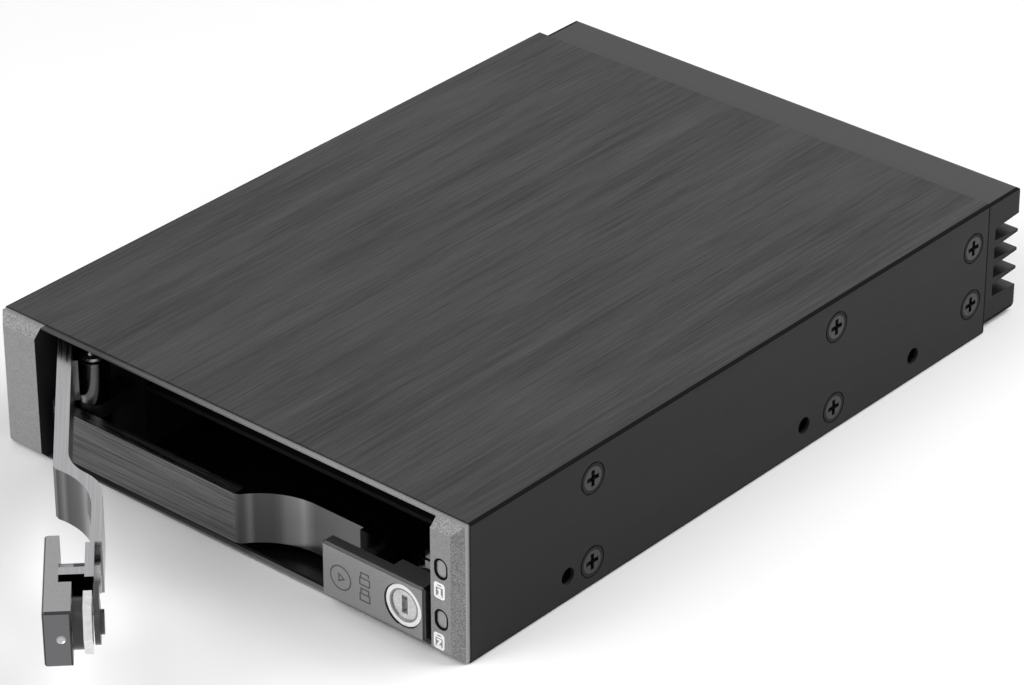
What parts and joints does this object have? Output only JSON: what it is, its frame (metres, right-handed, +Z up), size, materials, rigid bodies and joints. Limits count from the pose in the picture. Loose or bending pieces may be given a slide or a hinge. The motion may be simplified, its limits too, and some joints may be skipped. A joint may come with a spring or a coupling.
{
  "type": "hard drive mobile rack",
  "caption": "Flat black rack for a 3.5 inch drive bay: brushed sleeve, finned rear block, and stacked lever doors with key locks over slots for small drives.",
  "frame": {"origin": "middle of the sleeve's flat bottom face", "axes": "+X to the right seen from the front, +Y from the doors to the finned rear block, +Z up"},
  "size_m": [0.1016, 0.1999, 0.0254],
  "materials": {
    "black_brushed_aluminium": "brushed along the depth and black anodised",
    "black_anodised_aluminium": "smooth, black anodised",
    "lever_aluminium": "brushed along the lever, dark anodised",
    "textured_plastic": "fine moulded grain",
    "guide_plastic": "matte",
    "connector_plastic": "satin",
    "black_sheet_steel": "matte paint",
    "black_screw_steel": "black oxide",
    "bright_steel": "bright",
    "lock_chrome": "polished plate",
    "circuit_board": "solder mask",
    "lens_acrylic": "smoked, polished",
    "lamp_resin": "clear resin"
  },
  "bodies": {
    "chassis": {"case_sleeve": "black_brushed_aluminium", "case_screws": "black_screw_steel", "rear_end_block": "black_anodised_aluminium", "front_bezel": "textured_plastic", "left_guide": "guide_plastic", "right_guide": "guide_plastic", "bay_divider": "black_sheet_steel", "hinge_pin": "bright_steel", "hinge_clip": "bright_steel", "backplane_board": "circuit_board", "board_screws": "bright_steel", "lower_data_port": "connector_plastic", "upper_data_port": "connector_plastic", "power_port": "connector_plastic", "lower_light_pipe": "lens_acrylic", "lower_status_lamp": "lamp_resin", "lower_drive_socket": "connector_plastic", "upper_light_pipe": "lens_acrylic", "upper_status_lamp": "lamp_resin", "upper_drive_socket": "connector_plastic"},
    "lower_lever": {"lower_lever_arm": "lever_aluminium", "lower_handle": "textured_plastic", "lower_handle_screw": "lock_chrome", "lower_lock_barrel": "lock_chrome", "lower_lock_nut": "lock_chrome"},
    "lower_lock": {"lower_lock_core": "lock_chrome", "lower_lock_cam": "lock_chrome", "lower_cam_screw": "lock_chrome"},
    "lower_catch": {"lower_catch_plunger": "bright_steel"},
    "upper_lever": {"upper_lever_arm": "lever_aluminium", "upper_handle": "textured_plastic", "upper_handle_screw": "lock_chrome", "upper_lock_barrel": "lock_chrome", "upper_lock_nut": "lock_chrome"},
    "upper_lock": {"upper_lock_core": "lock_chrome", "upper_lock_cam": "lock_chrome", "upper_cam_screw": "lock_chrome"},
    "upper_catch": {"upper_catch_plunger": "bright_steel"}
  },
  "joints": [
    {"name": "lower_lever_swing", "type": "hinge", "parent": "chassis", "child": "lower_lever", "pos_m": [-0.034, -0.0635, 0.0074], "axis": [0, 0, -1], "range_deg": [0, 90]},
    {"name": "lower_lock_turn", "type": "hinge", "parent": "lower_lever", "child": "lower_lock", "pos_m": [0.0396, -0.0635, 0.0074], "axis": [0, 1, 0], "range_deg": [0, 90]},
    {"name": "lower_catch_press", "type": "slide", "parent": "chassis", "child": "lower_catch", "axis": [1, 0, 0], "range_m": [0, 0.00035], "stiffness_N_per_m": 1500},
    {"name": "upper_lever_swing", "type": "hinge", "parent": "chassis", "child": "upper_lever", "pos_m": [-0.034, -0.0635, 0.018], "axis": [0, 0, -1], "range_deg": [-45, 45]},
    {"name": "upper_lock_turn", "type": "hinge", "parent": "upper_lever", "child": "upper_lock", "pos_m": [0.01804, -0.11554, 0.018], "axis": [0.7071, 0.7071, 0], "range_deg": [0, 90]},
    {"name": "upper_catch_press", "type": "slide", "parent": "chassis", "child": "upper_catch", "axis": [1, 0, 0], "range_m": [0, 0.00035], "stiffness_N_per_m": 1500}
  ]
}
